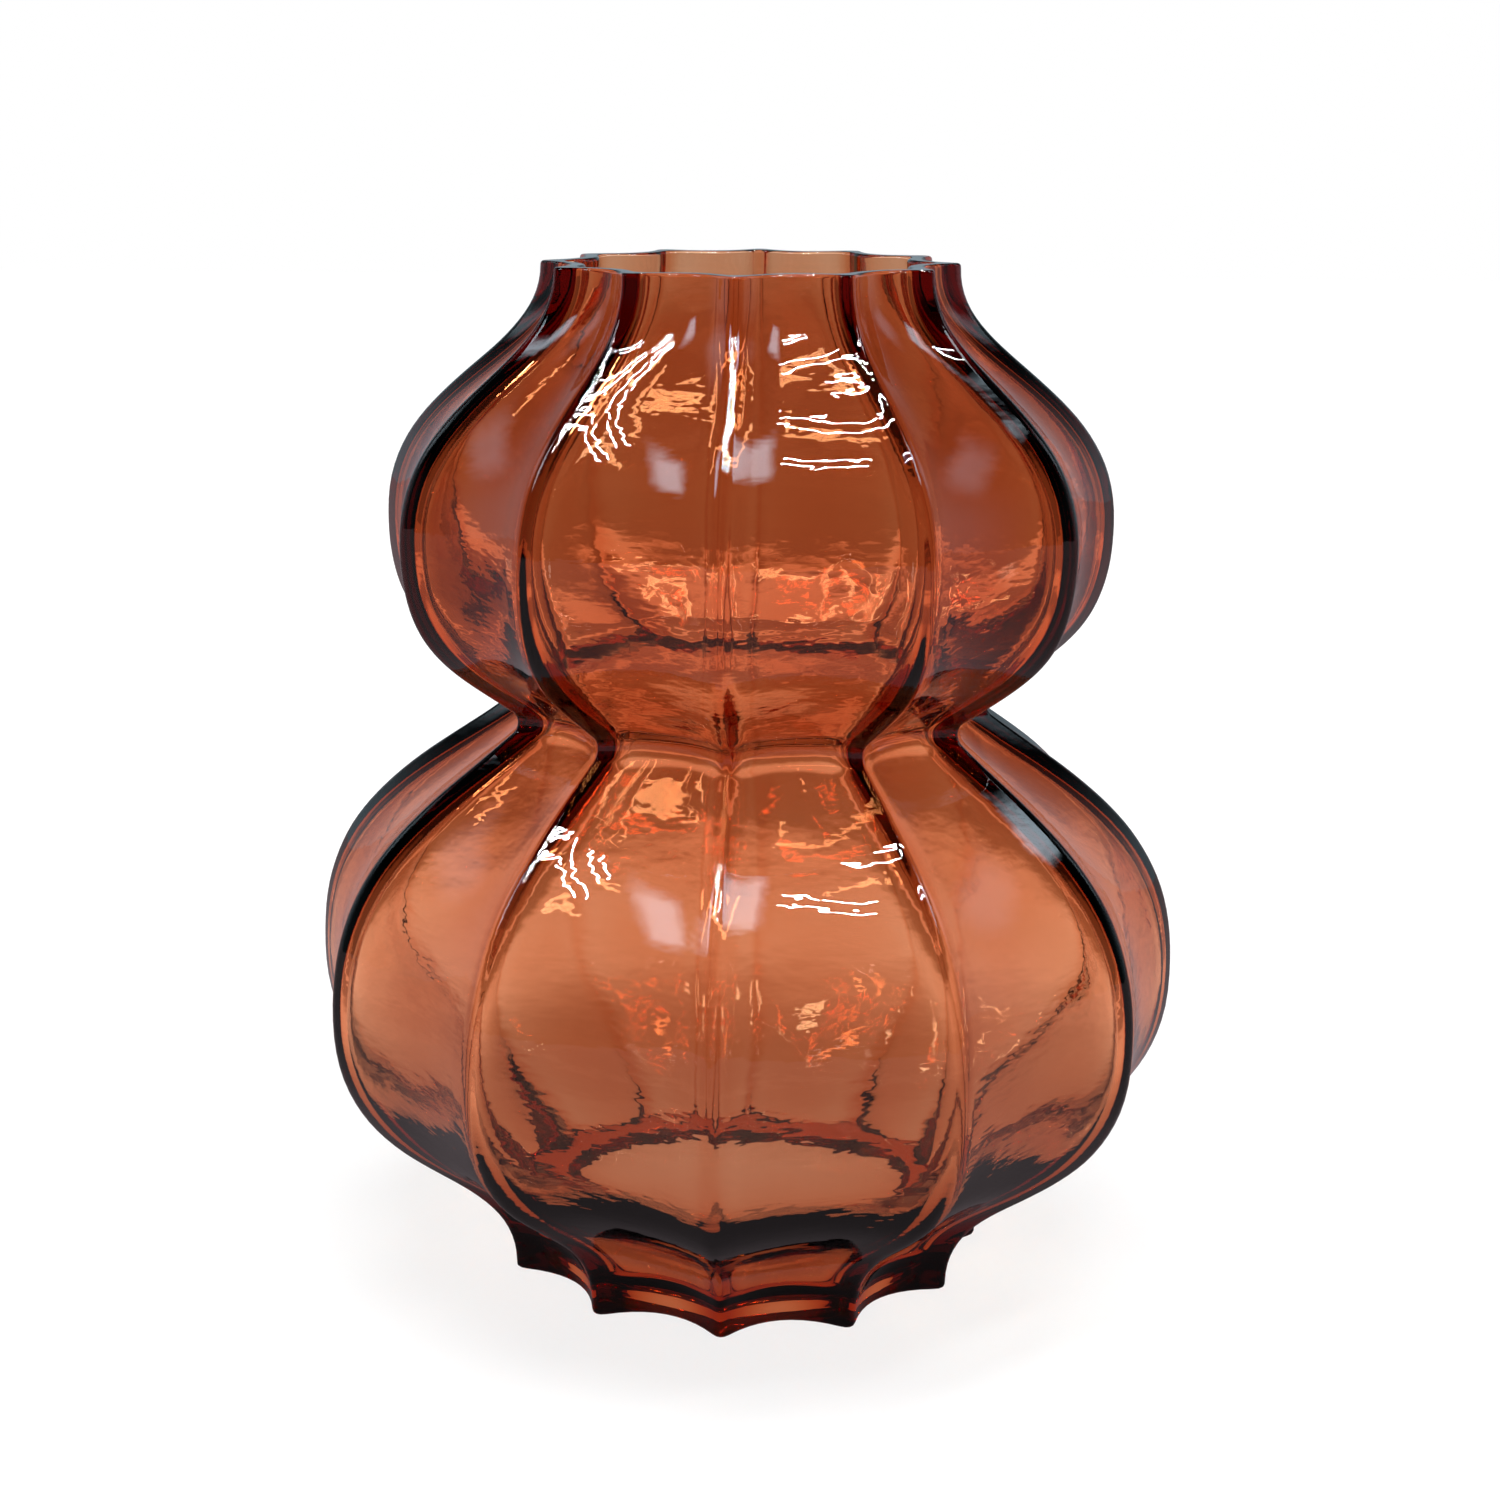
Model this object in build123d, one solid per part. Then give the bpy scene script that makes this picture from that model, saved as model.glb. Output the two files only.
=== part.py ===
from build123d import *
import math
import os

# Gourd vase: one piece of mould-blown glass, two bulbs over a foot, ridged from foot to rim.
# Millimetres, +Z up. The origin is the centre of the foot, on the surface that the vase stands on.

# Ridges: their number, and how far the rounding of a crest reaches down each side
RIDGE_COUNT = 12
FOOT_CREST = 2.2
BULB_CREST = 1.4
RIM_CREST = 2.4

# Radius over the crests at each ring, from the foot up
FOOT_RADIUS = 54.8
LOWER_RADIUS = 95.5
WAIST_RADIUS = 53.0
UPPER_RADIUS = 78.0
RIM_RADIUS = 44.0

# Height of each stretch from one ring to the next, from the foot up
FOOT_TO_LOWER = 65.5
LOWER_TO_WAIST = 60.5
WAIST_TO_UPPER = 40.0
UPPER_TO_RIM = 54.0

# Depth of the hollow panels below the crests at each ring
FOOT_FLUTE = 7.0
LOWER_FLUTE = 5.6
WAIST_FLUTE = 7.0
UPPER_FLUTE = 5.2
RIM_FLUTE = 6.0

# The pinch between the bulbs: its rounding, and the slope of the glass beside it in degrees
WAIST_ROUND = 3.0
WAIST_SLOPE = 36.0

# Fullness of the curves: how far each keeps its direction at a ring, as a share of its own height
FOOT_FULLNESS = 0.40
LOWER_FULLNESS_BELOW = 0.61
LOWER_FULLNESS_ABOVE = 0.59
WAIST_FULLNESS_BELOW = 0.43
WAIST_FULLNESS_ABOVE = 0.53
UPPER_FULLNESS_BELOW = 0.57
UPPER_FULLNESS_ABOVE = 0.55
RIM_FULLNESS = 0.37

# Glass: the base between its floor and the top of the dish below, and the wall behind the middle of a
# panel at each ring, thicker where the vase is narrow because the glass is blown out less there
BASE_THICKNESS = 3.0
LOWER_WALL = 2.6
WAIST_WALL = 4.6
UPPER_WALL = 4.3
RIM_WALL = 3.6

# Waves of the inside, behind the ridges: their depth at each ring, and how far a rounding reaches
FOOT_WAVE = 5.0
LOWER_WAVE = 5.0
WAIST_WAVE = 5.0
UPPER_WAVE = 4.6
RIM_WAVE = 4.0
WAVE_ROUND = 4.0

# Inside of the foot: how far the flat floor stops short of the panels, the rounding beside it, the
# slope of the glass above that in degrees, and the fullness of the curve up to the lower bulb
FLOOR_SETBACK = 7.0
HEEL_ROUND = 4.0
HEEL_SLOPE = 68.0
HEEL_FULLNESS = 0.40
BELLY_FULLNESS = 0.60

# Inside of the neck, fuller below and slower above so that the wall stays even
SHOULDER_FULLNESS = 0.52
MOUTH_FULLNESS = 0.43

# Edges, and the dish under the foot
RIM_ROUND = 0.8
FOOT_ROUND = 1.0
PUNT_RADIUS = 40.0
PUNT_DEPTH = 5.5

HALF_PANEL = math.pi / RIDGE_COUNT

LOWER_HEIGHT = FOOT_TO_LOWER
WAIST_HEIGHT = LOWER_HEIGHT + LOWER_TO_WAIST
UPPER_HEIGHT = WAIST_HEIGHT + WAIST_TO_UPPER
HEIGHT = UPPER_HEIGHT + UPPER_TO_RIM
FLOOR_HEIGHT = PUNT_DEPTH + BASE_THICKNESS

# Headings of the curves, as (radius, height)
SLOPE = math.radians(WAIST_SLOPE)
HEEL_TURN = math.radians(HEEL_SLOPE)
UP = (0.0, 1.0)
OUT_OF_HEEL = (math.cos(HEEL_TURN), math.sin(HEEL_TURN))
INTO_WAIST = (-math.cos(SLOPE), math.sin(SLOPE))
OUT_OF_WAIST = (math.cos(SLOPE), math.sin(SLOPE))

# Angles of round corners, from the outward direction
BELOW, OUT, ABOVE, IN = -math.pi / 2, 0.0, math.pi / 2, math.pi
WAIST_START = 2 * math.pi + BELOW - SLOPE
WAIST_END = ABOVE + SLOPE


def stretch(start, start_heading, start_share, end, end_heading, end_share):
    """Control points, as (radius, height), of a curve that leaves and ends along two headings."""
    rise = end[1] - start[1]
    leave = [value + start_share * rise * heading for value, heading in zip(start, start_heading)]
    arrive = [value - end_share * rise * heading for value, heading in zip(end, end_heading)]
    return [start, leave, arrive, end]


def round_corner(centre, radius, start_angle, end_angle):
    """Control points, as (radius, height), of a curve along part of a circle."""
    reach = radius * 4 / 3 * math.tan((end_angle - start_angle) / 4)
    start_across = (math.cos(start_angle), math.sin(start_angle))
    end_across = (math.cos(end_angle), math.sin(end_angle))
    start = [value + radius * across for value, across in zip(centre, start_across)]
    end = [value + radius * across for value, across in zip(centre, end_across)]
    leave = [start[0] - reach * start_across[1], start[1] + reach * start_across[0]]
    arrive = [end[0] + reach * end_across[1], end[1] - reach * end_across[0]]
    return [start, leave, arrive, end]


def fluted(points, start, end):
    """Rings at a stretch's control points: its flute depth and rounding go from one ring's to the next's."""
    flutes_and_crests = [start, start, end, end]
    return [
        (radius, height, flute, crest_share(radius, rounding))
        for (radius, height), (flute, rounding) in zip(points, flutes_and_crests)
    ]


def crest_share(radius, rounding):
    """Share of a half panel that the rounding of a crest takes."""
    return rounding / (radius * HALF_PANEL)


def outer_line():
    """Rings of the outside from the foot to the rim, stretch by stretch."""
    foot = (FOOT_RADIUS, FOOT_ROUND)
    lower = (LOWER_RADIUS, LOWER_HEIGHT)
    upper = (UPPER_RADIUS, UPPER_HEIGHT)
    rim = (RIM_RADIUS, HEIGHT - RIM_ROUND)
    foot_edge = round_corner((FOOT_RADIUS - FOOT_ROUND, FOOT_ROUND), FOOT_ROUND, BELOW, OUT)
    pinch = round_corner((WAIST_RADIUS + WAIST_ROUND, WAIST_HEIGHT), WAIST_ROUND, WAIST_START, WAIST_END)
    rim_edge = round_corner((RIM_RADIUS - RIM_ROUND, HEIGHT - RIM_ROUND), RIM_ROUND, OUT, ABOVE)
    foot_to_lower = stretch(foot, UP, FOOT_FULLNESS, lower, UP, LOWER_FULLNESS_BELOW)
    lower_to_waist = stretch(lower, UP, LOWER_FULLNESS_ABOVE, pinch[0], INTO_WAIST, WAIST_FULLNESS_BELOW)
    waist_to_upper = stretch(pinch[-1], OUT_OF_WAIST, WAIST_FULLNESS_ABOVE, upper, UP, UPPER_FULLNESS_BELOW)
    upper_to_rim = stretch(upper, UP, UPPER_FULLNESS_ABOVE, rim, UP, RIM_FULLNESS)
    at_foot = (FOOT_FLUTE, FOOT_CREST)
    at_lower = (LOWER_FLUTE, BULB_CREST)
    at_waist = (WAIST_FLUTE, BULB_CREST)
    at_upper = (UPPER_FLUTE, BULB_CREST)
    at_rim = (RIM_FLUTE, RIM_CREST)
    return [
        fluted(foot_edge, at_foot, at_foot),
        fluted(foot_to_lower, at_foot, at_lower),
        fluted(lower_to_waist, at_lower, at_waist),
        fluted(pinch, at_waist, at_waist),
        fluted(waist_to_upper, at_waist, at_upper),
        fluted(upper_to_rim, at_upper, at_rim),
        fluted(rim_edge, at_rim, at_rim),
    ]


def inner_line():
    """Rings of the inside from the floor to the rim, a wall's thickness behind the panels."""
    floor_edge = FOOT_RADIUS - FOOT_FLUTE - FLOOR_SETBACK + FOOT_WAVE
    lower = (LOWER_RADIUS - LOWER_FLUTE - LOWER_WALL + LOWER_WAVE, LOWER_HEIGHT)
    upper = (UPPER_RADIUS - UPPER_FLUTE - UPPER_WALL + UPPER_WAVE, UPPER_HEIGHT)
    rim = (RIM_RADIUS - RIM_FLUTE - RIM_WALL + RIM_WAVE, HEIGHT - RIM_ROUND)
    waist_centre = (WAIST_RADIUS - WAIST_FLUTE + WAIST_ROUND + WAIST_WAVE, WAIST_HEIGHT)
    heel_centre = (floor_edge, FLOOR_HEIGHT + HEEL_ROUND)
    heel = round_corner(heel_centre, HEEL_ROUND, BELOW, BELOW + HEEL_TURN)
    pinch = round_corner(waist_centre, WAIST_ROUND + WAIST_WALL, WAIST_START, WAIST_END)
    rim_edge = round_corner((rim[0] + RIM_ROUND, rim[1]), RIM_ROUND, IN, ABOVE)
    heel_to_lower = stretch(heel[-1], OUT_OF_HEEL, HEEL_FULLNESS, lower, UP, BELLY_FULLNESS)
    lower_to_waist = stretch(lower, UP, LOWER_FULLNESS_ABOVE, pinch[0], INTO_WAIST, WAIST_FULLNESS_BELOW)
    waist_to_upper = stretch(pinch[-1], OUT_OF_WAIST, WAIST_FULLNESS_ABOVE, upper, UP, UPPER_FULLNESS_BELOW)
    upper_to_rim = stretch(upper, UP, SHOULDER_FULLNESS, rim, UP, MOUTH_FULLNESS)
    at_foot = (FOOT_WAVE, WAVE_ROUND)
    at_lower = (LOWER_WAVE, WAVE_ROUND)
    at_waist = (WAIST_WAVE, WAVE_ROUND)
    at_upper = (UPPER_WAVE, WAVE_ROUND)
    at_rim = (RIM_WAVE, WAVE_ROUND)
    return [
        fluted(heel, at_foot, at_foot),
        fluted(heel_to_lower, at_foot, at_lower),
        fluted(lower_to_waist, at_lower, at_waist),
        fluted(pinch, at_waist, at_waist),
        fluted(waist_to_upper, at_waist, at_upper),
        fluted(upper_to_rim, at_upper, at_rim),
        fluted(rim_edge, at_rim, at_rim),
    ]


def ring_curves(ring):
    """Control points of the curves round one ring: for each ridge its crest, then the panel after it.

    A ring is its crest radius, height, flute depth and the share of a half panel that a crest takes.
    The outline has an apex corner over each ridge and a middle corner in each panel. A crest is the curve
    flank, apex, flank, and a panel is the curve flank, middle, flank, so each runs smoothly into the next.
    """
    crest, height, flute, share = ring
    lean = math.cos(HALF_PANEL)
    kept = 1 - share / 2
    middle = 2 * (crest - flute) - (1 - share) * lean * crest / kept
    middle /= 1 + share - (1 - share) * lean**2 * share / (2 * kept)
    apex = (crest - share / 2 * lean * middle) / kept

    def corner(radius, angle):
        return Vector(radius * math.cos(angle), radius * math.sin(angle), height)

    curves = []
    for ridge in range(RIDGE_COUNT):
        angle = 2 * HALF_PANEL * ridge
        panel_before = corner(middle, angle - HALF_PANEL)
        over_ridge = corner(apex, angle)
        panel_after = corner(middle, angle + HALF_PANEL)
        over_next = corner(apex, angle + 2 * HALF_PANEL)
        flank_before = over_ridge + (panel_before - over_ridge) * share
        flank_after = over_ridge + (panel_after - over_ridge) * share
        next_flank = over_next + (panel_after - over_next) * share
        curves.append([flank_before, over_ridge, flank_after])
        curves.append([flank_after, panel_after, next_flank])
    return curves


def outline(ring):
    """Closed wire round one ring."""
    return Wire([Edge.make_bezier(*curve) for curve in ring_curves(ring)])


def skin(line):
    """Faces of a ridged skin along a line of rings, with the wires round its first and last rings."""
    faces = []
    for rings in line:
        strips = zip(*[ring_curves(ring) for ring in rings])
        faces += [Face.make_bezier_surface(list(strip)) for strip in strips]
    return faces, outline(line[0][0]), outline(line[-1][-1])


def punt():
    """Cutter for the dish under the foot, flat over its middle and steep at its edge."""
    centre = (0, 0, 0)
    top = (0, 0, PUNT_DEPTH)
    corner = (PUNT_RADIUS, 0, PUNT_DEPTH)
    edge = (PUNT_RADIUS, 0, 0)
    section = make_face([Bezier(top, corner, corner, edge), Line(edge, centre), Line(centre, top)])
    return revolve(section, Axis.Z)


def vase_body():
    """The whole vase: outer and inner skins, closed by the foot, the floor and the rim."""
    outer_faces, foot_wire, outer_rim = skin(outer_line())
    inner_faces, floor_wire, inner_rim = skin(inner_line())
    caps = [Face(foot_wire), Face(floor_wire), Face(outer_rim, [inner_rim])]
    return Solid(Shell(outer_faces + inner_faces + caps)) - punt()


os.makedirs("parts", exist_ok=True)
export_step(vase_body(), "parts/vase_body.step")
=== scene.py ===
import math

import bpy
from mathutils import Euler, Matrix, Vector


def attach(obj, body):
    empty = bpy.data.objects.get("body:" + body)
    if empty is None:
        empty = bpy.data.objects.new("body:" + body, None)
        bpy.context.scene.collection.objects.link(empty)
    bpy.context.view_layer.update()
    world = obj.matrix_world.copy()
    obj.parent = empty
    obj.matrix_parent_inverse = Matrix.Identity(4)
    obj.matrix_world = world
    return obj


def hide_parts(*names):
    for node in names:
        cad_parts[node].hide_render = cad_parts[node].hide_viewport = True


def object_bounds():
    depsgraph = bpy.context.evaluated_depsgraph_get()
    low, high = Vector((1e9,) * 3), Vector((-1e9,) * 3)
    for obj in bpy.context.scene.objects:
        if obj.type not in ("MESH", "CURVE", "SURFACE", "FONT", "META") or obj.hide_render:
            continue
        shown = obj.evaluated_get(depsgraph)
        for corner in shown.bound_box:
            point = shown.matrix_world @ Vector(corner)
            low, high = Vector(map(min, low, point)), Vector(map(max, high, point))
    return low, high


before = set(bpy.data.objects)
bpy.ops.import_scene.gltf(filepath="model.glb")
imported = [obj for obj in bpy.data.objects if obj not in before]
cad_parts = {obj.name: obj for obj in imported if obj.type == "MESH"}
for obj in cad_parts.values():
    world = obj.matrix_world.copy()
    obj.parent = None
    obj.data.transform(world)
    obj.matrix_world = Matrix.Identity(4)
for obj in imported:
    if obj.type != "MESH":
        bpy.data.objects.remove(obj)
cad_low, cad_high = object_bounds()

# Gourd vase of amber glass: metres, +Z up, the origin at the centre of the foot
MM = 0.001

# Ridges: their number, and the rounding of the crests, softer at the foot and the rim
RIDGES = 12
FOOT_CREST = 2.2 * MM
BULB_CREST = 1.4 * MM
RIM_CREST = 2.4 * MM

# Radius over the crests at each ring; the widest ring comes from the frame
FOOT_RADIUS = 54.8 * MM
LOWER_RADIUS = (cad_high.x - cad_low.x) / 2
WAIST_RADIUS = 53.0 * MM
UPPER_RADIUS = 78.0 * MM
RIM_RADIUS = 44.0 * MM

# Height of each ring; the rim's comes from the frame
LOWER_HEIGHT = 65.5 * MM
WAIST_HEIGHT = 126.0 * MM
UPPER_HEIGHT = 166.0 * MM
HEIGHT = cad_high.z

# Depth of the hollow panels below the crests at each ring
FOOT_FLUTE = 7.0 * MM
LOWER_FLUTE = 5.6 * MM
WAIST_FLUTE = 7.0 * MM
UPPER_FLUTE = 5.2 * MM
RIM_FLUTE = 6.0 * MM

# The pinch between the bulbs
WAIST_ROUND = 3.0 * MM
WAIST_SLOPE = math.radians(36.0)

# How long the outside keeps the heading of each ring, as a share of the rise to the next ring
FOOT_FULLNESS = 0.40
LOWER_FULLNESS_BELOW = 0.61
LOWER_FULLNESS_ABOVE = 0.59
WAIST_FULLNESS_BELOW = 0.43
WAIST_FULLNESS_ABOVE = 0.53
UPPER_FULLNESS_BELOW = 0.57
UPPER_FULLNESS_ABOVE = 0.55
RIM_FULLNESS = 0.37

# The same for the inside, where it has shares of its own
HEEL_FULLNESS = 0.40
BELLY_FULLNESS = 0.60
SHOULDER_FULLNESS = 0.52
MOUTH_FULLNESS = 0.43

# Wall: the base, and the glass behind a panel at each ring, thinnest in the lower bulb
BASE_THICKNESS = 3.0 * MM
LOWER_WALL = 2.6 * MM
WAIST_WALL = 4.6 * MM
UPPER_WALL = 4.3 * MM
RIM_WALL = 3.6 * MM

# Inside of the foot: how far its floor stops short of the panels, and the curve beside the floor
FLOOR_SETBACK = 7.0 * MM
HEEL_ROUND = 4.0 * MM
HEEL_SLOPE = math.radians(68.0)

# The waves of the inside, softer than the ridges outside: depth at each ring and rounding of the crests
FOOT_WAVE = 5.0 * MM
LOWER_WAVE = 5.0 * MM
WAIST_WAVE = 5.0 * MM
UPPER_WAVE = 4.6 * MM
RIM_WAVE = 4.0 * MM
WAVE_ROUND = 4.0 * MM

# Edges and underside
RIM_ROUND = 0.8 * MM
FOOT_ROUND = 1.0 * MM
PUNT_RADIUS = 40.0 * MM
PUNT_DEPTH = 5.5 * MM

# Mesh: cuts along each stretch of the line, across a crest and across a panel, and the gap that is joined
LINE_CUTS = 30
CREST_CUTS = 4
PANEL_CUTS = 10
JOINED_GAP = 0.001 * MM

# Added before a number is rounded down, so that a whole number stays what it is
ROUNDING_NUDGE = 0.0001

# Waves that blowing leaves in the glass: none on the surface that it stands on, full a little above
RIPPLE_HEIGHT = 0.5 * MM
RIPPLE_LENGTH = 22.0 * MM
RIPPLE_DETAIL = 1.0
RIPPLE_FROM, RIPPLE_FULL = 2.0 * MM, 12.0 * MM
NOISE_MIDDLE = 0.5

# Fine wrinkles of the skin, longer round the vase than up it
WRINKLE_DEPTH = 0.065 * MM
WRINKLE_LENGTH = 8.0 * MM
WRINKLE_RISE = 3.0 * MM
WRINKLE_DETAIL = 2.0

# Glass: how it bends light, and the tint that grows with the depth of the glass
GLASS_IOR = 1.5
GLASS_TINT = (0.815, 0.35, 0.0235, 1.0)
TINT_DENSITY = 365.0

# Camera of the photograph: distance from the axis, height, and the picture's own offset
CAMERA_DISTANCE = 0.5104
CAMERA_HEIGHT = 0.2539
CAMERA_AROUND = math.radians(3.3)
CAMERA_PITCH = math.radians(15.33)
CAMERA_TURN = math.radians(6.09)
CAMERA_LENS = 57.5
CAMERA_SENSOR = 36.0
CAMERA_SHIFT = 0.08

# Floor to the eye: how far it reaches, its gap below the foot, and its own glow, less near the vase
FLOOR_HALF = 3.0
FLOOR_GAP = 0.0002
FLOOR_GLOW = 0.84
GLOW_FROM, GLOW_TO = 0.12, 0.40
WHITE = (1.0, 1.0, 1.0, 1.0)
PAPER = (0.10, 0.10, 0.10, 1.0)

# Floor through the glass: its painted level by distance from the axis, a painted shadow of the vase close
# round it, a painted pool of light beyond, a dimmer far part, and a painted bright band far out
NEAR_LEVEL = 0.80
SHADE_LEVEL = 0.65
LIT_LEVEL = 1.2
FAR_LEVEL = 0.58
FAR_TINT = (1.0, 0.84, 0.68, 1.0)
SHADE_FROM, SHADE_TO = 0.03, 0.07
LIT_FROM, LIT_TO = 0.09, 0.22
FAR_FROM, FAR_TO = 0.26, 0.36
BAND_LEVEL = 2.2
BAND_FROM, BAND_FULL = 0.50, 0.57
BAND_DROP, BAND_TO = 0.65, 0.76

# Floor mirrored in the glass: a painted shadow of the vase, darkest round the foot, with a mauve tint
MIRRORED_SHADOW_LEVEL = 0.10
FLOOR_LIGHT = 0.34
FLOOR_FROM, FLOOR_TO = 0.065, 0.13
FLOOR_TINT = (1.0, 0.82, 0.88, 1.0)

# Plain light of the surroundings on the floor, beside the full white that the eye sees
PLAIN_LIGHT = 0.5

# Surroundings through the glass: a dim strip at the horizon, dark above it, with a glow at both sides
DARK_LEVEL = 0.07
BACK_HALF = 0.60
BACK_END = 0.92
BRIGHT_BELOW = 0.02
DIM_ABOVE = 0.12
BESIDE_LEVEL = 0.28
BESIDE_FULL = 0.75
BESIDE_RISE, BESIDE_TOP = 0.45, 0.65

# Surroundings mirrored in the glass: a cool, dim room that is darkest in front and overhead
ROOM_LEVEL = 0.45
ROOM_DARK = 0.04
ROOM_FRONT, ROOM_BACK = -0.3, 0.3
ROOM_LOW, ROOM_HIGH = 0.1, 0.6
DAYLIGHT = (0.70, 0.88, 1.0, 1.0)

# Soft lights overhead in that room: lean, middle, half size and soft edge for each metre of height
CEILING_LIGHTS = (
    (0.55, (0.61, -0.14), (0.05, 0.13), 0.12),
    (-0.88, (-0.56, -0.30), (0.06, 0.12), 0.18),
)
CEILING_LEVEL = 7.0
LOWEST_RISE = 0.05

# Glow at both sides of that room: turn from the front, rise, half size and soft edge
SIDE_TURN = math.radians(112.0)
SIDE_RISE = math.radians(34.0)
SIDE_HALF = math.radians(3.0)
SIDE_SOFT = math.radians(13.0)
SIDE_LEVEL = 1.1

# Lamps overhead, each with the place of its middle, its length, and its turn in degrees
LAMP_HEIGHT = 1.7

# Pairs of thin tubes that show only as highlights outside
TUBE_BRIGHTNESS = 450.0
TUBE_WIDTH = 0.010
TUBE_GAP = 0.10
TUBES = (
    ("middle_tube", (0.05, -0.23), 1.34, 35.0),
    ("right_tube", (0.46, -0.50), 0.74, 35.0),
    ("left_tube", (-0.26, -0.13), 0.67, 35.0),
)

# Cool panels that show only as glints inside the glass
PANEL_BRIGHTNESS = 600.0
PANEL_COLOUR = (0.50, 0.90, 1.0)
PANEL_WIDTH = 0.08
PANELS = (
    ("middle_panel", (0.05, -0.23), 1.34, 35.0),
    ("left_panel", (-0.26, 0.00), 0.50, 35.0),
    ("back_panel", (-0.75, 0.36), 1.10, -30.0),
)


class Number:
    """A number inside a node tree: arithmetic on it adds Math nodes."""

    def __init__(self, tree, socket):
        self.tree = tree
        self.socket = socket

    def math(self, operation, *others):
        made = self.tree.nodes.new("ShaderNodeMath")
        made.operation = operation
        for slot, value in zip(made.inputs, (self, *others)):
            plug(self.tree, value, slot)
        return Number(self.tree, made.outputs[0])

    def __add__(self, other):
        return self.math("ADD", other)

    def __sub__(self, other):
        return self.math("SUBTRACT", other)

    def __mul__(self, other):
        return self.math("MULTIPLY", other)

    def __truediv__(self, other):
        return self.math("DIVIDE", other)

    def floor(self):
        return (self + ROUNDING_NUDGE).math("FLOOR")

    def sine(self):
        return self.math("SINE")

    def cosine(self):
        return self.math("COSINE")

    def away_from(self, middle):
        return (self - middle).math("ABSOLUTE")

    def below(self, limit):
        return self.math("LESS_THAN", limit)

    def choose(self, chosen, otherwise):
        """The chosen number where this one is 1, the other where it is 0."""
        return (chosen - otherwise) * self + otherwise


def plug(tree, value, slot):
    """Sets a socket to a plain value, or links a number or another socket to it."""
    if isinstance(value, Number):
        tree.links.new(value.socket, slot)
    elif isinstance(value, bpy.types.NodeSocket):
        tree.links.new(value, slot)
    else:
        slot.default_value = value


def add(tree, kind, settings=(), **inputs):
    """Adds a node, with its settings and its inputs by name."""
    made = tree.nodes.new(kind)
    for name, value in dict(settings).items():
        setattr(made, name, value)
    for name, value in inputs.items():
        plug(tree, value, made.inputs[name.replace("_", " ")])
    return made


def eased(tree, value, first, last, first_level, last_level):
    """A level that eases from one value to another as a number passes from first to last."""
    ease = add(
        tree,
        "ShaderNodeMapRange",
        {"interpolation_type": "SMOOTHSTEP"},
        Value=value,
        From_Min=first,
        From_Max=last,
        To_Min=first_level,
        To_Max=last_level,
    )
    return Number(tree, ease.outputs[0])


# The line of the glass, as points of (radius, flute depth, height) with the share that a crest takes

def stretch(start, start_heading, start_share, end, end_heading, end_share):
    """The four points, as (radius, height), of a curve that leaves and ends along two headings."""
    rise = end[1] - start[1]
    leave = [value + start_share * rise * heading for value, heading in zip(start, start_heading)]
    arrive = [value - end_share * rise * heading for value, heading in zip(end, end_heading)]
    return [start, leave, arrive, end]


def straight(start, end):
    """The four points of a straight stretch."""
    thirds = [0, 1 / 3, 2 / 3, 1]
    return [[a + (b - a) * part for a, b in zip(start, end)] for part in thirds]


def round_corner(centre, radius, start_angle, end_angle):
    """The four points of a curve along part of a circle."""
    reach = radius * 4 / 3 * math.tan((end_angle - start_angle) / 4)
    start_across = (math.cos(start_angle), math.sin(start_angle))
    end_across = (math.cos(end_angle), math.sin(end_angle))
    start = [value + radius * across for value, across in zip(centre, start_across)]
    end = [value + radius * across for value, across in zip(centre, end_across)]
    leave = [start[0] - reach * start_across[1], start[1] + reach * start_across[0]]
    arrive = [end[0] + reach * end_across[1], end[1] - reach * end_across[0]]
    return [start, leave, arrive, end]


def crest_share(radius, rounding):
    """Share of a half panel that the rounding of a crest takes."""
    return rounding / (max(radius, FOOT_RADIUS / 2) * math.pi / RIDGES)


def ringed(points, first, last):
    """Adds to a stretch the depth of its panels and its crests' share, from ring to ring."""
    rings = (first, first, last, last)
    return [(r, flute, z, crest_share(r, crest)) for (r, z), (flute, crest) in zip(points, rings)]


UP = (0.0, 1.0)
OUT_OF_HEEL = (math.cos(HEEL_SLOPE), math.sin(HEEL_SLOPE))
INTO_WAIST = (-math.cos(WAIST_SLOPE), math.sin(WAIST_SLOPE))
OUT_OF_WAIST = (math.cos(WAIST_SLOPE), math.sin(WAIST_SLOPE))
BELOW, OUT, ABOVE, IN = -math.pi / 2, 0.0, math.pi / 2, math.pi
WAIST_START = 2 * math.pi + BELOW - WAIST_SLOPE
WAIST_END = ABOVE + WAIST_SLOPE


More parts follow.
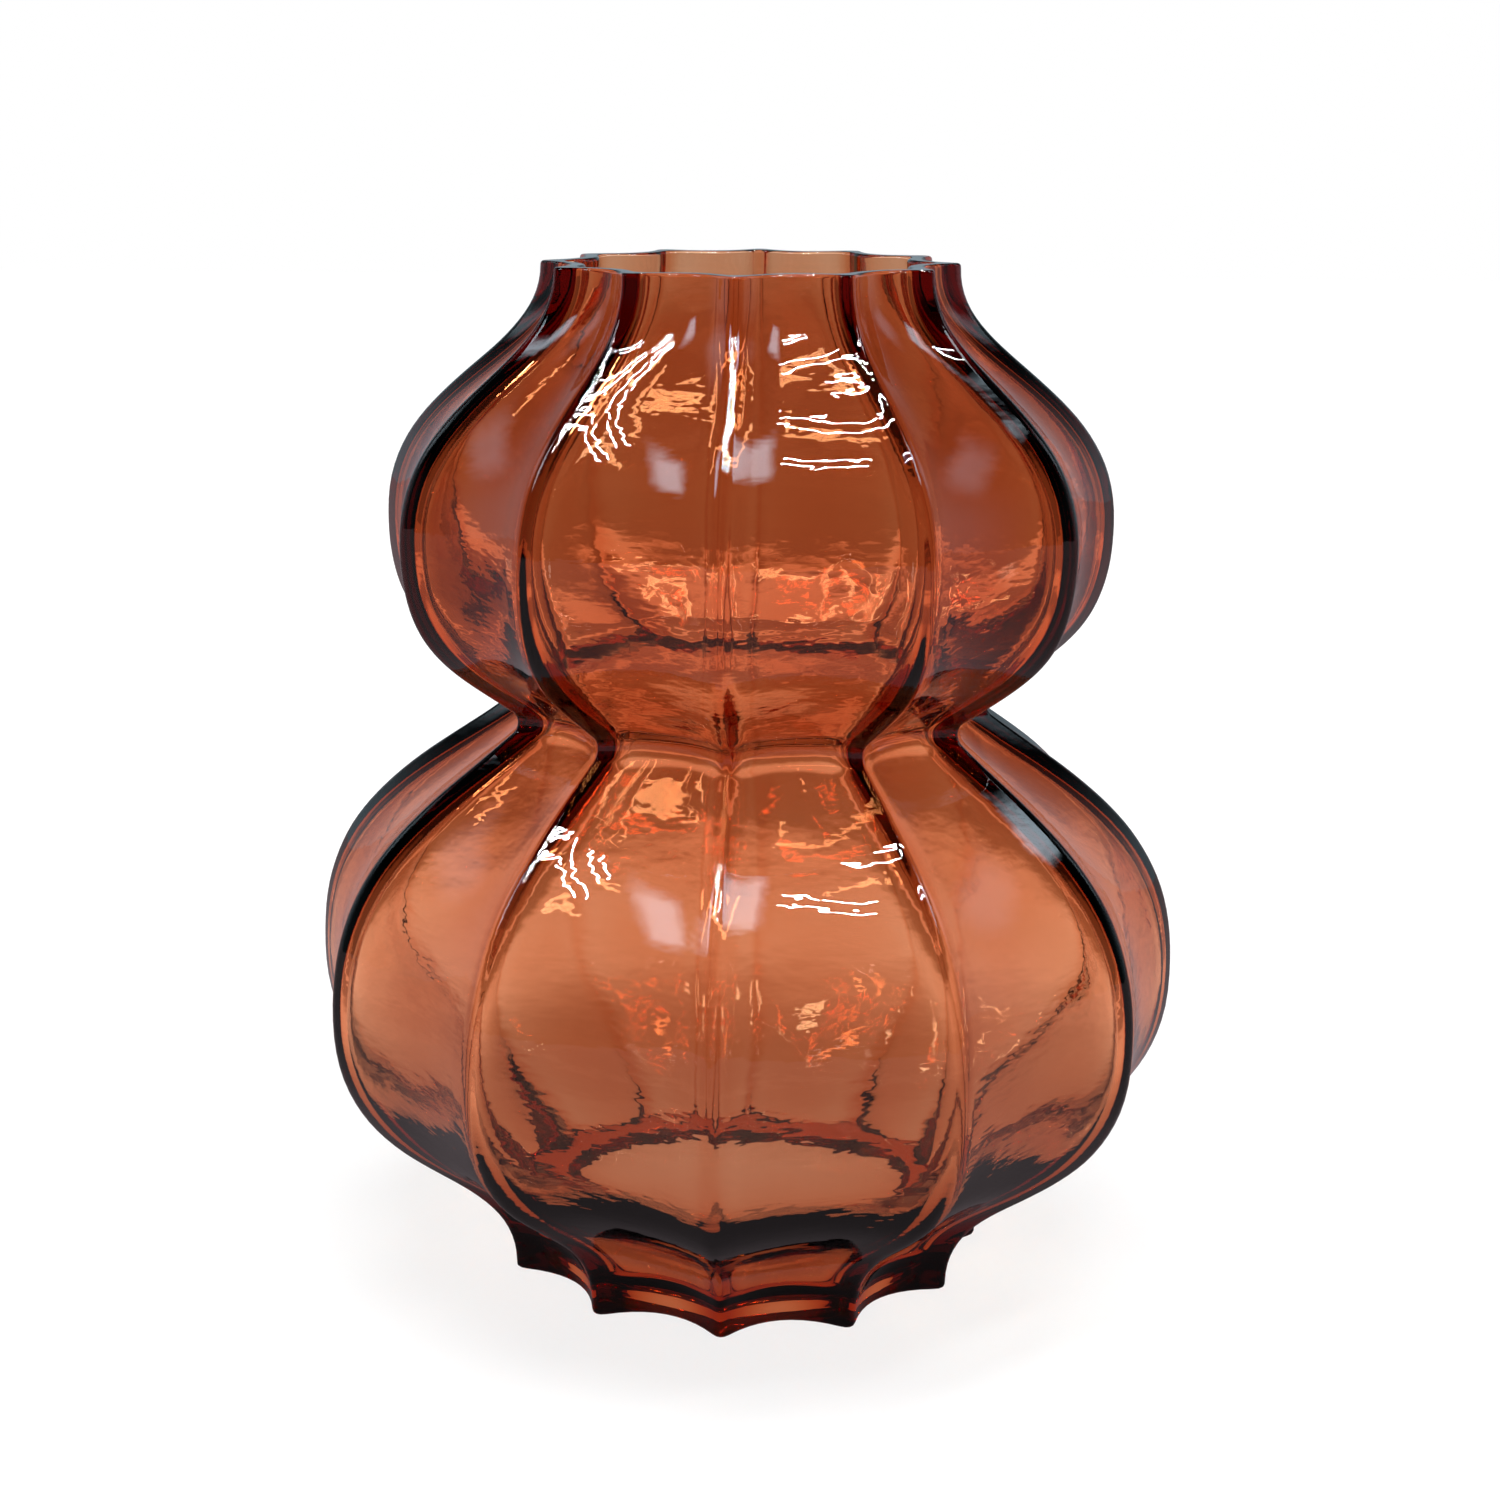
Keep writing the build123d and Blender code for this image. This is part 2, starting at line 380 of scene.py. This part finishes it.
def outer_line():
    """The outside from the middle of the dish under the foot up to the rim, each stretch with its flutes."""
    foot = (FOOT_RADIUS, FOOT_ROUND)
    lower = (LOWER_RADIUS, LOWER_HEIGHT)
    upper = (UPPER_RADIUS, UPPER_HEIGHT)
    rim = (RIM_RADIUS, HEIGHT - RIM_ROUND)
    foot_edge = round_corner((FOOT_RADIUS - FOOT_ROUND, FOOT_ROUND), FOOT_ROUND, BELOW, OUT)
    pinch = round_corner((WAIST_RADIUS + WAIST_ROUND, WAIST_HEIGHT), WAIST_ROUND, WAIST_START, WAIST_END)
    rim_edge = round_corner((RIM_RADIUS - RIM_ROUND, HEIGHT - RIM_ROUND), RIM_ROUND, OUT, ABOVE)
    dish = [(0, PUNT_DEPTH), (PUNT_RADIUS, PUNT_DEPTH), (PUNT_RADIUS, PUNT_DEPTH), (PUNT_RADIUS, 0)]
    ring = straight((PUNT_RADIUS, 0), foot_edge[0])
    foot_to_lower = stretch(foot, UP, FOOT_FULLNESS, lower, UP, LOWER_FULLNESS_BELOW)
    lower_to_waist = stretch(lower, UP, LOWER_FULLNESS_ABOVE, pinch[0], INTO_WAIST, WAIST_FULLNESS_BELOW)
    waist_to_upper = stretch(pinch[-1], OUT_OF_WAIST, WAIST_FULLNESS_ABOVE, upper, UP, UPPER_FULLNESS_BELOW)
    upper_to_rim = stretch(upper, UP, UPPER_FULLNESS_ABOVE, rim, UP, RIM_FULLNESS)
    flat = (0, FOOT_CREST)
    at_foot = (FOOT_FLUTE, FOOT_CREST)
    at_lower = (LOWER_FLUTE, BULB_CREST)
    at_waist = (WAIST_FLUTE, BULB_CREST)
    at_upper = (UPPER_FLUTE, BULB_CREST)
    at_rim = (RIM_FLUTE, RIM_CREST)
    return [
        ringed(dish, flat, flat),
        ringed(ring, flat, at_foot),
        ringed(foot_edge, at_foot, at_foot),
        ringed(foot_to_lower, at_foot, at_lower),
        ringed(lower_to_waist, at_lower, at_waist),
        ringed(pinch, at_waist, at_waist),
        ringed(waist_to_upper, at_waist, at_upper),
        ringed(upper_to_rim, at_upper, at_rim),
        ringed(rim_edge, at_rim, at_rim),
    ]


def inner_line():
    """The inside from the middle of the floor up to the rim."""
    floor_edge = FOOT_RADIUS - FOOT_FLUTE - FLOOR_SETBACK + FOOT_WAVE
    floor_height = PUNT_DEPTH + BASE_THICKNESS
    heel = round_corner((floor_edge, floor_height + HEEL_ROUND), HEEL_ROUND, BELOW, BELOW + HEEL_SLOPE)
    lower = (LOWER_RADIUS - LOWER_FLUTE - LOWER_WALL + LOWER_WAVE, LOWER_HEIGHT)
    upper = (UPPER_RADIUS - UPPER_FLUTE - UPPER_WALL + UPPER_WAVE, UPPER_HEIGHT)
    rim = (RIM_RADIUS - RIM_FLUTE - RIM_WALL + RIM_WAVE, HEIGHT - RIM_ROUND)
    waist_centre = (WAIST_RADIUS - WAIST_FLUTE + WAIST_ROUND + WAIST_WAVE, WAIST_HEIGHT)
    pinch = round_corner(waist_centre, WAIST_ROUND + WAIST_WALL, WAIST_START, WAIST_END)
    rim_edge = round_corner((rim[0] + RIM_ROUND, rim[1]), RIM_ROUND, IN, ABOVE)
    floor = straight((0, floor_height), heel[0])
    heel_to_lower = stretch(heel[-1], OUT_OF_HEEL, HEEL_FULLNESS, lower, UP, BELLY_FULLNESS)
    lower_to_waist = stretch(lower, UP, LOWER_FULLNESS_ABOVE, pinch[0], INTO_WAIST, WAIST_FULLNESS_BELOW)
    waist_to_upper = stretch(pinch[-1], OUT_OF_WAIST, WAIST_FULLNESS_ABOVE, upper, UP, UPPER_FULLNESS_BELOW)
    upper_to_rim = stretch(upper, UP, SHOULDER_FULLNESS, rim, UP, MOUTH_FULLNESS)
    flat = (0, WAVE_ROUND)
    at_foot = (FOOT_WAVE, WAVE_ROUND)
    at_lower = (LOWER_WAVE, WAVE_ROUND)
    at_waist = (WAIST_WAVE, WAVE_ROUND)
    at_upper = (UPPER_WAVE, WAVE_ROUND)
    at_rim = (RIM_WAVE, WAVE_ROUND)
    return [
        ringed(floor, flat, at_foot),
        ringed(heel, at_foot, at_foot),
        ringed(heel_to_lower, at_foot, at_lower),
        ringed(lower_to_waist, at_lower, at_waist),
        ringed(pinch, at_waist, at_waist),
        ringed(waist_to_upper, at_waist, at_upper),
        ringed(upper_to_rim, at_upper, at_rim),
        ringed(rim_edge, at_rim, at_rim),
    ]


def glass_line():
    """One curve along the whole section of the glass: up the outside, over the rim and down the inside."""
    inside = [span[::-1] for span in inner_line()[::-1]]
    outside = outer_line()
    top = straight(outside[-1][-1], inside[0][0])
    spans = [*outside, top, *inside]
    curve = bpy.data.curves.new("glass_line", "CURVE")
    curve.dimensions = "3D"
    spline = curve.splines.new("BEZIER")
    spline.resolution_u = LINE_CUTS
    spline.bezier_points.add(len(spans))
    for number, point in enumerate(spline.bezier_points):
        after = spans[min(number, len(spans) - 1)]
        before = spans[max(number - 1, 0)]
        here = after[0] if number < len(spans) else before[-1]
        point.handle_left_type = point.handle_right_type = "FREE"
        point.co = here[:3]
        point.radius = here[3]
        point.handle_right = after[1][:3] if number < len(spans) else here[:3]
        point.handle_left = before[2][:3] if number > 0 else here[:3]
    return curve


def along_line(tree, line, kind, value, ring):
    """What the line has at the point that winds into a ring."""
    wanted = {"data_type": kind, "domain": "POINT"}
    found = add(tree, "GeometryNodeSampleIndex", wanted, Geometry=line, Value=value, Index=ring)
    return found.outputs[0]


def ridged_vase_tree():
    """Node tree that winds the glass line round the axis, with ridges and hollow panels."""
    tree = bpy.data.node_groups.new("Ridged vase", "GeometryNodeTree")
    face = tree.interface
    face.new_socket("Line", in_out="INPUT", socket_type="NodeSocketGeometry")
    for name, kind in (
        ("Ridges", "NodeSocketInt"),
        ("Crest Cuts", "NodeSocketInt"),
        ("Panel Cuts", "NodeSocketInt"),
        ("Ripple Height", "NodeSocketFloat"),
        ("Ripple Length", "NodeSocketFloat"),
        ("Glass", "NodeSocketMaterial"),
    ):
        face.new_socket(name, in_out="INPUT", socket_type=kind)
    face.new_socket("Vase", in_out="OUTPUT", socket_type="NodeSocketGeometry")
    given = tree.nodes.new("NodeGroupInput").outputs
    ridges = Number(tree, given["Ridges"])
    crest_cuts = Number(tree, given["Crest Cuts"])
    panel_cuts = Number(tree, given["Panel Cuts"])
    position = tree.nodes.new("GeometryNodeInputPosition").outputs[0]
    line = add(tree, "GeometryNodeResampleCurve", {"mode": "EVALUATED"}, Curve=given["Line"]).outputs[0]
    counted = add(tree, "GeometryNodeAttributeDomainSize", {"component": "CURVE"}, Geometry=line)
    ring_count = Number(tree, counted.outputs["Point Count"])
    ring_cuts = crest_cuts + panel_cuts
    columns = ring_cuts * ridges
    grid = add(tree, "GeometryNodeMeshGrid", Vertices_X=columns + 1, Vertices_Y=ring_count)

    # Which ring and which column each point belongs to
    index = Number(tree, tree.nodes.new("GeometryNodeInputIndex").outputs[0])
    column = (index / ring_count).floor()
    ring = index - column * ring_count
    place = along_line(tree, line, "FLOAT_VECTOR", position, ring)
    parts = add(tree, "ShaderNodeSeparateXYZ", Vector=place).outputs
    crest = Number(tree, parts["X"])
    flute = Number(tree, parts["Y"])
    height = Number(tree, parts["Z"])
    line_radius = tree.nodes.new("GeometryNodeInputRadius").outputs[0]
    share = Number(tree, along_line(tree, line, "FLOAT", line_radius, ring))

    # Outline of a ring: an apex corner over each ridge, a middle corner in each panel
    half_panel = ridges.math("DIVIDE", math.pi).math("POWER", -1.0)
    lean = half_panel.cosine()
    lean_across = half_panel.sine()
    left = share.math("MULTIPLY_ADD", -1.0, 1.0)
    kept = share.math("MULTIPLY_ADD", -0.5, 1.0)
    middle = ((crest - flute) * 2.0 - left * lean * crest / kept) / (
        share + 1.0 - left * lean * lean * share / (kept * 2.0)
    )
    apex = (crest - share * lean * middle / 2.0) / kept

    # Along a column: its ridge, whether it is on the crest, and how far across it is, from -1 to 1
    ridge = (column / ring_cuts).floor()
    cut = column - ridge * ring_cuts
    on_crest = cut.below(crest_cuts - 0.5)
    across = on_crest.choose(cut / crest_cuts, (cut - crest_cuts) / panel_cuts) * 2.0 - 1.0
    edge_out = on_crest.choose(apex * left + middle * share * lean, apex * left * lean + middle * share)
    edge_across = on_crest.choose(middle * share * lean_across, apex * left * lean_across)
    peak = on_crest.choose(apex, middle)
    bow = across * across
    outwards = edge_out * (bow + 1.0) / 2.0 + peak * bow.math("MULTIPLY_ADD", -1.0, 1.0) / 2.0
    sideways = edge_across * across
    turn = half_panel * (ridge * 2.0 + 1.0 - on_crest)
    x = outwards * turn.cosine() - sideways * turn.sine()
    y = outwards * turn.sine() + sideways * turn.cosine()
    spot = add(tree, "ShaderNodeCombineXYZ", X=x, Y=y, Z=height)
    wound = add(tree, "GeometryNodeSetPosition", Geometry=grid.outputs["Mesh"], Position=spot.outputs[0])
    closed = add(tree, "GeometryNodeMergeByDistance", Geometry=wound.outputs[0], Distance=JOINED_GAP)

    # Waves of the blown glass, none on the surface that it stands on
    fineness = Number(tree, given["Ripple Length"]).math("POWER", -1.0)
    waves = add(
        tree,
        "ShaderNodeTexNoise",
        {"noise_dimensions": "3D"},
        Scale=fineness,
        Detail=RIPPLE_DETAIL,
    )
    above_floor = add(tree, "ShaderNodeSeparateXYZ", Vector=position).outputs["Z"]
    off_foot = add(
        tree,
        "ShaderNodeMapRange",
        Value=above_floor,
        From_Min=RIPPLE_FROM,
        From_Max=RIPPLE_FULL,
    )
    wave = Number(tree, waves.outputs[0]) - NOISE_MIDDLE
    rise = wave * Number(tree, given["Ripple Height"]) * Number(tree, off_foot.outputs[0])
    normal = tree.nodes.new("GeometryNodeInputNormal").outputs[0]
    push = add(tree, "ShaderNodeVectorMath", {"operation": "SCALE"}, Vector=normal, Scale=rise)
    waved = add(tree, "GeometryNodeSetPosition", Geometry=closed.outputs[0], Offset=push.outputs[0])
    smooth = add(tree, "GeometryNodeSetShadeSmooth", Geometry=waved.outputs[0])
    real = add(tree, "GeometryNodeRealizeInstances", Geometry=smooth.outputs[0])
    dressed = add(tree, "GeometryNodeSetMaterial", Geometry=real.outputs[0], Material=given["Glass"])
    result = tree.nodes.new("NodeGroupOutput")
    tree.links.new(dressed.outputs[0], result.inputs["Vase"])
    return tree


def amber_glass():
    """Clear amber-brown glass, tinted by its depth, with fine wrinkles."""
    material = bpy.data.materials.new("amber_glass")
    material.use_nodes = True
    tree = material.node_tree
    shader = tree.nodes["Principled BSDF"]
    shader.inputs["Base Color"].default_value = WHITE
    shader.inputs["Roughness"].default_value = 0.0
    shader.inputs["IOR"].default_value = GLASS_IOR
    shader.inputs["Transmission Weight"].default_value = 1.0
    spot = tree.nodes.new("ShaderNodeTexCoord").outputs["Object"]
    squeezed = add(tree, "ShaderNodeVectorMath", {"operation": "DIVIDE"})
    tree.links.new(spot, squeezed.inputs[0])
    squeezed.inputs[1].default_value = (WRINKLE_LENGTH, WRINKLE_LENGTH, WRINKLE_RISE)
    grain = add(tree, "ShaderNodeTexNoise", Vector=squeezed.outputs[0], Scale=1.0, Detail=WRINKLE_DETAIL)
    wrinkles = add(tree, "ShaderNodeBump", Strength=1.0, Distance=WRINKLE_DEPTH, Height=grain.outputs[0])
    tree.links.new(wrinkles.outputs[0], shader.inputs["Normal"])
    tint = add(tree, "ShaderNodeVolumeAbsorption", Color=GLASS_TINT, Density=TINT_DENSITY)
    tree.links.new(tint.outputs[0], tree.nodes["Material Output"].inputs["Volume"])
    return material


def vase_body():
    """The vase as one closed mesh, wound round the axis by the node tree."""
    maker = bpy.data.objects.new("vase_line", glass_line())
    bpy.context.scene.collection.objects.link(maker)
    winding = maker.modifiers.new("Ridged vase", "NODES")
    winding.node_group = ridged_vase_tree()
    glass = amber_glass()
    sizes = {
        "Ridges": RIDGES,
        "Crest Cuts": CREST_CUTS,
        "Panel Cuts": PANEL_CUTS,
        "Ripple Height": RIPPLE_HEIGHT,
        "Ripple Length": RIPPLE_LENGTH,
        "Glass": glass,
    }
    for item in winding.node_group.interface.items_tree:
        if item.name in sizes:
            winding[item.identifier] = sizes[item.name]
    seen = maker.evaluated_get(bpy.context.evaluated_depsgraph_get())
    mesh = bpy.data.meshes.new_from_object(seen)
    maker.modifiers.remove(winding)
    bpy.data.objects.remove(maker)
    body = bpy.data.objects.new("vase", mesh)
    bpy.context.scene.collection.objects.link(body)
    return body


def pale_floor():
    """Plain pale floor with the vase's shadow, and with painted shadow and painted light of its own in the
    glass.
    """
    corners = [(-FLOOR_HALF, -FLOOR_HALF, 0), (FLOOR_HALF, -FLOOR_HALF, 0)]
    corners += [(FLOOR_HALF, FLOOR_HALF, 0), (-FLOOR_HALF, FLOOR_HALF, 0)]
    mesh = bpy.data.meshes.new("floor")
    mesh.from_pydata(corners, [], [(0, 1, 2, 3)])
    plane = bpy.data.objects.new("floor", mesh)
    plane.location.z = -FLOOR_GAP
    bpy.context.scene.collection.objects.link(plane)
    material = bpy.data.materials.new("pale_floor")
    material.use_nodes = True
    tree = material.node_tree
    tree.nodes.remove(tree.nodes["Principled BSDF"])
    path = tree.nodes.new("ShaderNodeLightPath").outputs
    refracted = path["Is Transmission Ray"]
    place = tree.nodes.new("ShaderNodeTexCoord").outputs["Object"]
    away = add(tree, "ShaderNodeVectorMath", {"operation": "LENGTH"}, Vector=place)
    distance = Number(tree, away.outputs["Value"])

    # Through the glass, and mirrored in it
    # Painted shadow of the vase near it, a painted pool of light beyond, and a painted bright band far out,
    # seen only through the glass
    through = eased(tree, distance, SHADE_FROM, SHADE_TO, NEAR_LEVEL, SHADE_LEVEL)
    through = through * eased(tree, distance, LIT_FROM, LIT_TO, 1.0, LIT_LEVEL / SHADE_LEVEL)
    through = through * eased(tree, distance, FAR_FROM, FAR_TO, 1.0, FAR_LEVEL / LIT_LEVEL)
    band = eased(tree, distance, BAND_FROM, BAND_FULL, 0.0, 1.0)
    band = band * eased(tree, distance, BAND_DROP, BAND_TO, 1.0, 0.0)
    through = through * (band * (BAND_LEVEL - 1.0) + 1.0)
    # Painted shadow of the vase round its foot, seen only mirrored in the glass
    mirrored = eased(tree, distance, FLOOR_FROM, FLOOR_TO, MIRRORED_SHADOW_LEVEL, FLOOR_LIGHT)
    level = Number(tree, refracted).choose(through, mirrored)
    far = eased(tree, distance, FAR_FROM, FAR_TO, 0.0, 1.0) - band
    tint = add(tree, "ShaderNodeMixRGB", Fac=far, Color1=WHITE, Color2=FAR_TINT).outputs[0]
    colour = add(tree, "ShaderNodeMixRGB", Fac=refracted, Color1=FLOOR_TINT, Color2=tint).outputs[0]
    in_glass = add(tree, "ShaderNodeEmission", Color=colour, Strength=level)

    # To the eye
    paper = add(tree, "ShaderNodeBsdfDiffuse", Color=PAPER)
    bright = eased(tree, distance, GLOW_FROM, GLOW_TO, FLOOR_GLOW, 1.0)
    glow = add(tree, "ShaderNodeEmission", Strength=bright)
    to_eye = tree.nodes.new("ShaderNodeAddShader")
    tree.links.new(paper.outputs[0], to_eye.inputs[0])
    tree.links.new(glow.outputs[0], to_eye.inputs[1])
    blend = add(tree, "ShaderNodeMixShader", Fac=path["Is Camera Ray"])
    tree.links.new(in_glass.outputs[0], blend.inputs[1])
    tree.links.new(to_eye.outputs[0], blend.inputs[2])
    tree.links.new(blend.outputs[0], tree.nodes["Material Output"].inputs["Surface"])
    mesh.materials.append(material)


def ceiling_light(tree, parts, lean, middle, half, soft):
    """A soft light overhead, by its distance sideways and back for each metre of height, with a lean."""
    height = Number(tree, parts["Z"]).math("MAXIMUM", LOWEST_RISE)
    back = Number(tree, parts["Y"]) / height
    sideways = Number(tree, parts["X"]) / height + back * lean
    across = eased(tree, sideways.away_from(middle[0]), half[0], half[0] + soft, CEILING_LEVEL, 0.0)
    return across * eased(tree, back.away_from(middle[1]), half[1], half[1] + soft, 1.0, 0.0)


def side_glow(tree, parts):
    """A dim glow to the right and left of the vase, a little behind it."""
    around = Number(tree, parts["X"]).math("ABSOLUTE").math("ARCTAN2", Number(tree, parts["Y"]) * -1.0)
    off_turn = around.away_from(SIDE_TURN)
    off_rise = Number(tree, parts["Z"]).math("ARCSINE").away_from(SIDE_RISE)
    across = eased(tree, off_turn, SIDE_HALF, SIDE_HALF + SIDE_SOFT, SIDE_LEVEL, 0.0)
    return across * eased(tree, off_rise, SIDE_HALF, SIDE_HALF + SIDE_SOFT, 1.0, 0.0)


def studio():
    """Surroundings: white to the eye, plain light on the floor, and levels of their own in the glass."""
    sky = bpy.data.worlds.new("studio")
    sky.use_nodes = True
    tree = sky.node_tree
    path = tree.nodes.new("ShaderNodeLightPath").outputs
    refracted = path["Is Transmission Ray"]
    reflected = path["Is Glossy Ray"]
    way = tree.nodes.new("ShaderNodeTexCoord").outputs["Generated"]
    parts = add(tree, "ShaderNodeSeparateXYZ", Vector=way).outputs

    # Through the glass
    sideways = Number(tree, parts["X"]).math("ABSOLUTE")
    through = eased(tree, sideways, BACK_HALF, BACK_END, FAR_LEVEL, DARK_LEVEL)
    through = through * eased(tree, parts["Z"], BRIGHT_BELOW, DIM_ABOVE, 1.0, DARK_LEVEL)
    beside = eased(tree, sideways, BACK_HALF, BESIDE_FULL, 0.0, BESIDE_LEVEL)
    beside = beside * eased(tree, parts["Z"], BESIDE_RISE, BESIDE_TOP, 1.0, 0.0)
    through = through.math("MAXIMUM", beside)

    # Mirrored in the glass
    mirrored = eased(tree, parts["Y"], ROOM_FRONT, ROOM_BACK, ROOM_DARK, ROOM_LEVEL)
    mirrored = mirrored * eased(tree, parts["Z"], ROOM_LOW, ROOM_HIGH, 1.0, ROOM_DARK)
    for lean, middle, half, soft in CEILING_LIGHTS:
        mirrored = mirrored + ceiling_light(tree, parts, lean, middle, half, soft)
    mirrored = mirrored + side_glow(tree, parts)

    # To the eye, on the floor and in the glass
    level = Number(tree, refracted).choose(through, mirrored)
    in_glass = Number(tree, reflected).math("MAXIMUM", refracted)
    plain = Number(tree, path["Is Camera Ray"]).math("MULTIPLY_ADD", 1 - PLAIN_LIGHT, PLAIN_LIGHT)
    cool = add(tree, "ShaderNodeMixRGB", Fac=reflected, Color1=WHITE, Color2=DAYLIGHT).outputs[0]
    tint = add(tree, "ShaderNodeMixRGB", Fac=refracted, Color1=cool, Color2=FAR_TINT).outputs[0]
    background = tree.nodes["Background"]
    plug(tree, tint, background.inputs["Color"])
    plug(tree, in_glass.choose(level, plain), background.inputs["Strength"])
    bpy.context.scene.world = sky


def lamp(name, place, length, width, turn, brightness):
    """A long lamp overhead that shines straight down."""
    data = bpy.data.lights.new(name, "AREA")
    data.shape = "RECTANGLE"
    data.size = length
    data.size_y = width
    data.energy = brightness * math.pi * length * width
    shining = bpy.data.objects.new(name, data)
    shining.rotation_euler = Euler((0, 0, turn))
    shining.location = (*place, LAMP_HEIGHT)
    bpy.context.scene.collection.objects.link(shining)
    return shining


def lamps():
    """Thin tubes for the highlights outside, wider panels for the glints inside."""
    for name, (x, y), length, degrees in TUBES:
        turn = math.radians(degrees)
        for number, side in ((1, -TUBE_GAP / 2), (2, TUBE_GAP / 2)):
            place = (x - side * math.sin(turn), y + side * math.cos(turn))
            tube = lamp(f"{name}_{number}", place, length, TUBE_WIDTH, turn, TUBE_BRIGHTNESS)
            tube.visible_transmission = False
    for name, place, length, degrees in PANELS:
        panel = lamp(name, place, length, PANEL_WIDTH, math.radians(degrees), PANEL_BRIGHTNESS)
        panel.data.color = PANEL_COLOUR
        panel.visible_glossy = False
        panel.visible_diffuse = False


def camera():
    """The camera of the photograph."""
    data = bpy.data.cameras.new("camera")
    data.lens = CAMERA_LENS
    data.sensor_width = CAMERA_SENSOR
    data.shift_x = CAMERA_SHIFT
    eye = bpy.data.objects.new("camera", data)
    eye.location = (
        CAMERA_DISTANCE * math.sin(CAMERA_AROUND),
        -CAMERA_DISTANCE * math.cos(CAMERA_AROUND),
        CAMERA_HEIGHT,
    )
    eye.rotation_euler = Euler((math.pi / 2 - CAMERA_PITCH, 0, CAMERA_TURN))
    bpy.context.scene.collection.objects.link(eye)
    bpy.context.scene.camera = eye


scene = bpy.context.scene
scene.view_settings.view_transform = "Standard"
vase = vase_body()
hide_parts("vase_body")
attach(vase, "root")
pale_floor()
studio()
lamps()
camera()
